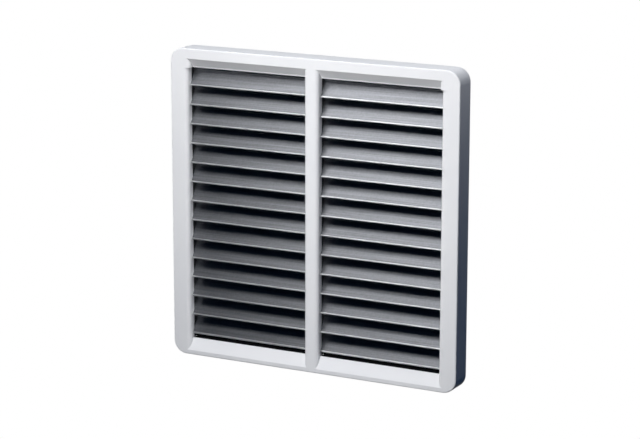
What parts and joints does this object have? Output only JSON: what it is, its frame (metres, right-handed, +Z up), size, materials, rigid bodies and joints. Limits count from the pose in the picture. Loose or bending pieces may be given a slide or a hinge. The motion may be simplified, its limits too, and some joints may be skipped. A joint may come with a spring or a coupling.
{
  "type": "louvred backdraft damper",
  "caption": "Square louvred wall shutter: a white moulded frame with a centre mullion and linked aluminium slats that fan air swings open and their own weight shuts.",
  "frame": {"origin": "centre of the wall-screw pattern, on the wall plane at the back of the frame", "axes": "+Z up, +X to the right seen from the front, and the front faces -Y, so +Y points into the wall"},
  "size_m": [0.5, 0.038, 0.5],
  "materials": {
    "white_plastic": "moulded white plastic, fine satin",
    "mill_aluminium": "extruded aluminium, mill finish with lengthwise lines",
    "dark_plastic": "moulded dark grey plastic",
    "black_rubber": "extruded black rubber",
    "zinc_steel": "bright zinc plating"
  },
  "bodies": {
    "casing": {"frame": "white_plastic", "sill_seal_left": "black_rubber", "sill_seal_right": "black_rubber", "rail_left": "dark_plastic", "rail_centre": "dark_plastic", "rail_right": "dark_plastic", "rail_screws": "zinc_steel"},
    "slat_left_01": {"slat_left_01": "mill_aluminium"},
    "slat_left_02": {"slat_left_02": "mill_aluminium"},
    "slat_left_03": {"slat_left_03": "mill_aluminium"},
    "slat_left_04": {"slat_left_04": "mill_aluminium"},
    "slat_left_05": {"slat_left_05": "mill_aluminium"},
    "slat_left_06": {"slat_left_06": "mill_aluminium"},
    "slat_left_07": {"slat_left_07": "mill_aluminium"},
    "slat_left_08": {"slat_left_08": "mill_aluminium"},
    "slat_left_09": {"slat_left_09": "mill_aluminium"},
    "slat_left_10": {"slat_left_10": "mill_aluminium"},
    "slat_left_11": {"slat_left_11": "mill_aluminium"},
    "slat_left_12": {"slat_left_12": "mill_aluminium"},
    "slat_left_13": {"slat_left_13": "mill_aluminium"},
    "slat_left_14": {"slat_left_14": "mill_aluminium"},
    "tie_bar_left": {"tie_bar_left": "dark_plastic"},
    "slat_right_01": {"slat_right_01": "mill_aluminium"},
    "slat_right_02": {"slat_right_02": "mill_aluminium"},
    "slat_right_03": {"slat_right_03": "mill_aluminium"},
    "slat_right_04": {"slat_right_04": "mill_aluminium"},
    "slat_right_05": {"slat_right_05": "mill_aluminium"},
    "slat_right_06": {"slat_right_06": "mill_aluminium"},
    "slat_right_07": {"slat_right_07": "mill_aluminium"},
    "slat_right_08": {"slat_right_08": "mill_aluminium"},
    "slat_right_09": {"slat_right_09": "mill_aluminium"},
    "slat_right_10": {"slat_right_10": "mill_aluminium"},
    "slat_right_11": {"slat_right_11": "mill_aluminium"},
    "slat_right_12": {"slat_right_12": "mill_aluminium"},
    "slat_right_13": {"slat_right_13": "mill_aluminium"},
    "slat_right_14": {"slat_right_14": "mill_aluminium"},
    "tie_bar_right": {"tie_bar_right": "dark_plastic"}
  },
  "joints": [
    {"name": "slat_left_01_hinge", "type": "hinge", "parent": "casing", "child": "slat_left_01", "pos_m": [-0.116, -0.015, 0.2166], "axis": [-1, 0, 0], "range_deg": [-21, 45]},
    {"name": "slat_left_02_hinge", "type": "hinge", "parent": "casing", "child": "slat_left_02", "pos_m": [-0.116, -0.015, 0.1854], "axis": [-1, 0, 0], "range_deg": [-21, 45]},
    {"name": "slat_left_03_hinge", "type": "hinge", "parent": "casing", "child": "slat_left_03", "pos_m": [-0.116, -0.015, 0.1542], "axis": [-1, 0, 0], "range_deg": [-21, 45]},
    {"name": "slat_left_04_hinge", "type": "hinge", "parent": "casing", "child": "slat_left_04", "pos_m": [-0.116, -0.015, 0.123], "axis": [-1, 0, 0], "range_deg": [-21, 45]},
    {"name": "slat_left_05_hinge", "type": "hinge", "parent": "casing", "child": "slat_left_05", "pos_m": [-0.116, -0.015, 0.0918], "axis": [-1, 0, 0], "range_deg": [-21, 45]},
    {"name": "slat_left_06_hinge", "type": "hinge", "parent": "casing", "child": "slat_left_06", "pos_m": [-0.116, -0.015, 0.0606], "axis": [-1, 0, 0], "range_deg": [-21, 45]},
    {"name": "slat_left_07_hinge", "type": "hinge", "parent": "casing", "child": "slat_left_07", "pos_m": [-0.116, -0.015, 0.0294], "axis": [-1, 0, 0], "range_deg": [-21, 45]},
    {"name": "slat_left_08_hinge", "type": "hinge", "parent": "casing", "child": "slat_left_08", "pos_m": [-0.116, -0.015, -0.0018], "axis": [-1, 0, 0], "range_deg": [-21, 45]},
    {"name": "slat_left_09_hinge", "type": "hinge", "parent": "casing", "child": "slat_left_09", "pos_m": [-0.116, -0.015, -0.033], "axis": [-1, 0, 0], "range_deg": [-21, 45]},
    {"name": "slat_left_10_hinge", "type": "hinge", "parent": "casing", "child": "slat_left_10", "pos_m": [-0.116, -0.015, -0.0642], "axis": [-1, 0, 0], "range_deg": [-21, 45]},
    {"name": "slat_left_11_hinge", "type": "hinge", "parent": "casing", "child": "slat_left_11", "pos_m": [-0.116, -0.015, -0.0954], "axis": [-1, 0, 0], "range_deg": [-21, 45]},
    {"name": "slat_left_12_hinge", "type": "hinge", "parent": "casing", "child": "slat_left_12", "pos_m": [-0.116, -0.015, -0.1266], "axis": [-1, 0, 0], "range_deg": [-21, 45]},
    {"name": "slat_left_13_hinge", "type": "hinge", "parent": "casing", "child": "slat_left_13", "pos_m": [-0.116, -0.015, -0.1578], "axis": [-1, 0, 0], "range_deg": [-21, 45]},
    {"name": "slat_left_14_hinge", "type": "hinge", "parent": "casing", "child": "slat_left_14", "pos_m": [-0.116, -0.015, -0.189], "axis": [-1, 0, 0], "range_deg": [-21, 45]},
    {"name": "tie_bar_left_hinge", "type": "hinge", "parent": "slat_left_07", "child": "tie_bar_left", "pos_m": [-0.116, -0.00522, 0.03148], "axis": [-1, 0, 0], "range_deg": [-45, 21]},
    {"name": "slat_right_01_hinge", "type": "hinge", "parent": "casing", "child": "slat_right_01", "pos_m": [0.116, -0.015, 0.2166], "axis": [-1, 0, 0], "range_deg": [-21, 45]},
    {"name": "slat_right_02_hinge", "type": "hinge", "parent": "casing", "child": "slat_right_02", "pos_m": [0.116, -0.015, 0.1854], "axis": [-1, 0, 0], "range_deg": [-21, 45]},
    {"name": "slat_right_03_hinge", "type": "hinge", "parent": "casing", "child": "slat_right_03", "pos_m": [0.116, -0.015, 0.1542], "axis": [-1, 0, 0], "range_deg": [-21, 45]},
    {"name": "slat_right_04_hinge", "type": "hinge", "parent": "casing", "child": "slat_right_04", "pos_m": [0.116, -0.015, 0.123], "axis": [-1, 0, 0], "range_deg": [-21, 45]},
    {"name": "slat_right_05_hinge", "type": "hinge", "parent": "casing", "child": "slat_right_05", "pos_m": [0.116, -0.015, 0.0918], "axis": [-1, 0, 0], "range_deg": [-21, 45]},
    {"name": "slat_right_06_hinge", "type": "hinge", "parent": "casing", "child": "slat_right_06", "pos_m": [0.116, -0.015, 0.0606], "axis": [-1, 0, 0], "range_deg": [-21, 45]},
    {"name": "slat_right_07_hinge", "type": "hinge", "parent": "casing", "child": "slat_right_07", "pos_m": [0.116, -0.015, 0.0294], "axis": [-1, 0, 0], "range_deg": [-21, 45]},
    {"name": "slat_right_08_hinge", "type": "hinge", "parent": "casing", "child": "slat_right_08", "pos_m": [0.116, -0.015, -0.0018], "axis": [-1, 0, 0], "range_deg": [-21, 45]},
    {"name": "slat_right_09_hinge", "type": "hinge", "parent": "casing", "child": "slat_right_09", "pos_m": [0.116, -0.015, -0.033], "axis": [-1, 0, 0], "range_deg": [-21, 45]},
    {"name": "slat_right_10_hinge", "type": "hinge", "parent": "casing", "child": "slat_right_10", "pos_m": [0.116, -0.015, -0.0642], "axis": [-1, 0, 0], "range_deg": [-21, 45]},
    {"name": "slat_right_11_hinge", "type": "hinge", "parent": "casing", "child": "slat_right_11", "pos_m": [0.116, -0.015, -0.0954], "axis": [-1, 0, 0], "range_deg": [-21, 45]},
    {"name": "slat_right_12_hinge", "type": "hinge", "parent": "casing", "child": "slat_right_12", "pos_m": [0.116, -0.015, -0.1266], "axis": [-1, 0, 0], "range_deg": [-21, 45]},
    {"name": "slat_right_13_hinge", "type": "hinge", "parent": "casing", "child": "slat_right_13", "pos_m": [0.116, -0.015, -0.1578], "axis": [-1, 0, 0], "range_deg": [-21, 45]},
    {"name": "slat_right_14_hinge", "type": "hinge", "parent": "casing", "child": "slat_right_14", "pos_m": [0.116, -0.015, -0.189], "axis": [-1, 0, 0], "range_deg": [-21, 45]},
    {"name": "tie_bar_right_hinge", "type": "hinge", "parent": "slat_right_07", "child": "tie_bar_right", "pos_m": [0.116, -0.00522, 0.03148], "axis": [-1, 0, 0], "range_deg": [-45, 21]}
  ],
  "couplings": [
    {"joint": "slat_left_01_hinge", "follows": "slat_left_07_hinge", "ratio": 1},
    {"joint": "slat_left_02_hinge", "follows": "slat_left_07_hinge", "ratio": 1},
    {"joint": "slat_left_03_hinge", "follows": "slat_left_07_hinge", "ratio": 1},
    {"joint": "slat_left_04_hinge", "follows": "slat_left_07_hinge", "ratio": 1},
    {"joint": "slat_left_05_hinge", "follows": "slat_left_07_hinge", "ratio": 1},
    {"joint": "slat_left_06_hinge", "follows": "slat_left_07_hinge", "ratio": 1},
    {"joint": "slat_left_08_hinge", "follows": "slat_left_07_hinge", "ratio": 1},
    {"joint": "slat_left_09_hinge", "follows": "slat_left_07_hinge", "ratio": 1},
    {"joint": "slat_left_10_hinge", "follows": "slat_left_07_hinge", "ratio": 1},
    {"joint": "slat_left_11_hinge", "follows": "slat_left_07_hinge", "ratio": 1},
    {"joint": "slat_left_12_hinge", "follows": "slat_left_07_hinge", "ratio": 1},
    {"joint": "slat_left_13_hinge", "follows": "slat_left_07_hinge", "ratio": 1},
    {"joint": "slat_left_14_hinge", "follows": "slat_left_07_hinge", "ratio": 1},
    {"joint": "tie_bar_left_hinge", "follows": "slat_left_07_hinge", "ratio": -1},
    {"joint": "slat_right_01_hinge", "follows": "slat_right_07_hinge", "ratio": 1},
    {"joint": "slat_right_02_hinge", "follows": "slat_right_07_hinge", "ratio": 1},
    {"joint": "slat_right_03_hinge", "follows": "slat_right_07_hinge", "ratio": 1},
    {"joint": "slat_right_04_hinge", "follows": "slat_right_07_hinge", "ratio": 1},
    {"joint": "slat_right_05_hinge", "follows": "slat_right_07_hinge", "ratio": 1},
    {"joint": "slat_right_06_hinge", "follows": "slat_right_07_hinge", "ratio": 1},
    {"joint": "slat_right_08_hinge", "follows": "slat_right_07_hinge", "ratio": 1},
    {"joint": "slat_right_09_hinge", "follows": "slat_right_07_hinge", "ratio": 1},
    {"joint": "slat_right_10_hinge", "follows": "slat_right_07_hinge", "ratio": 1},
    {"joint": "slat_right_11_hinge", "follows": "slat_right_07_hinge", "ratio": 1},
    {"joint": "slat_right_12_hinge", "follows": "slat_right_07_hinge", "ratio": 1},
    {"joint": "slat_right_13_hinge", "follows": "slat_right_07_hinge", "ratio": 1},
    {"joint": "slat_right_14_hinge", "follows": "slat_right_07_hinge", "ratio": 1},
    {"joint": "tie_bar_right_hinge", "follows": "slat_right_07_hinge", "ratio": -1}
  ]
}
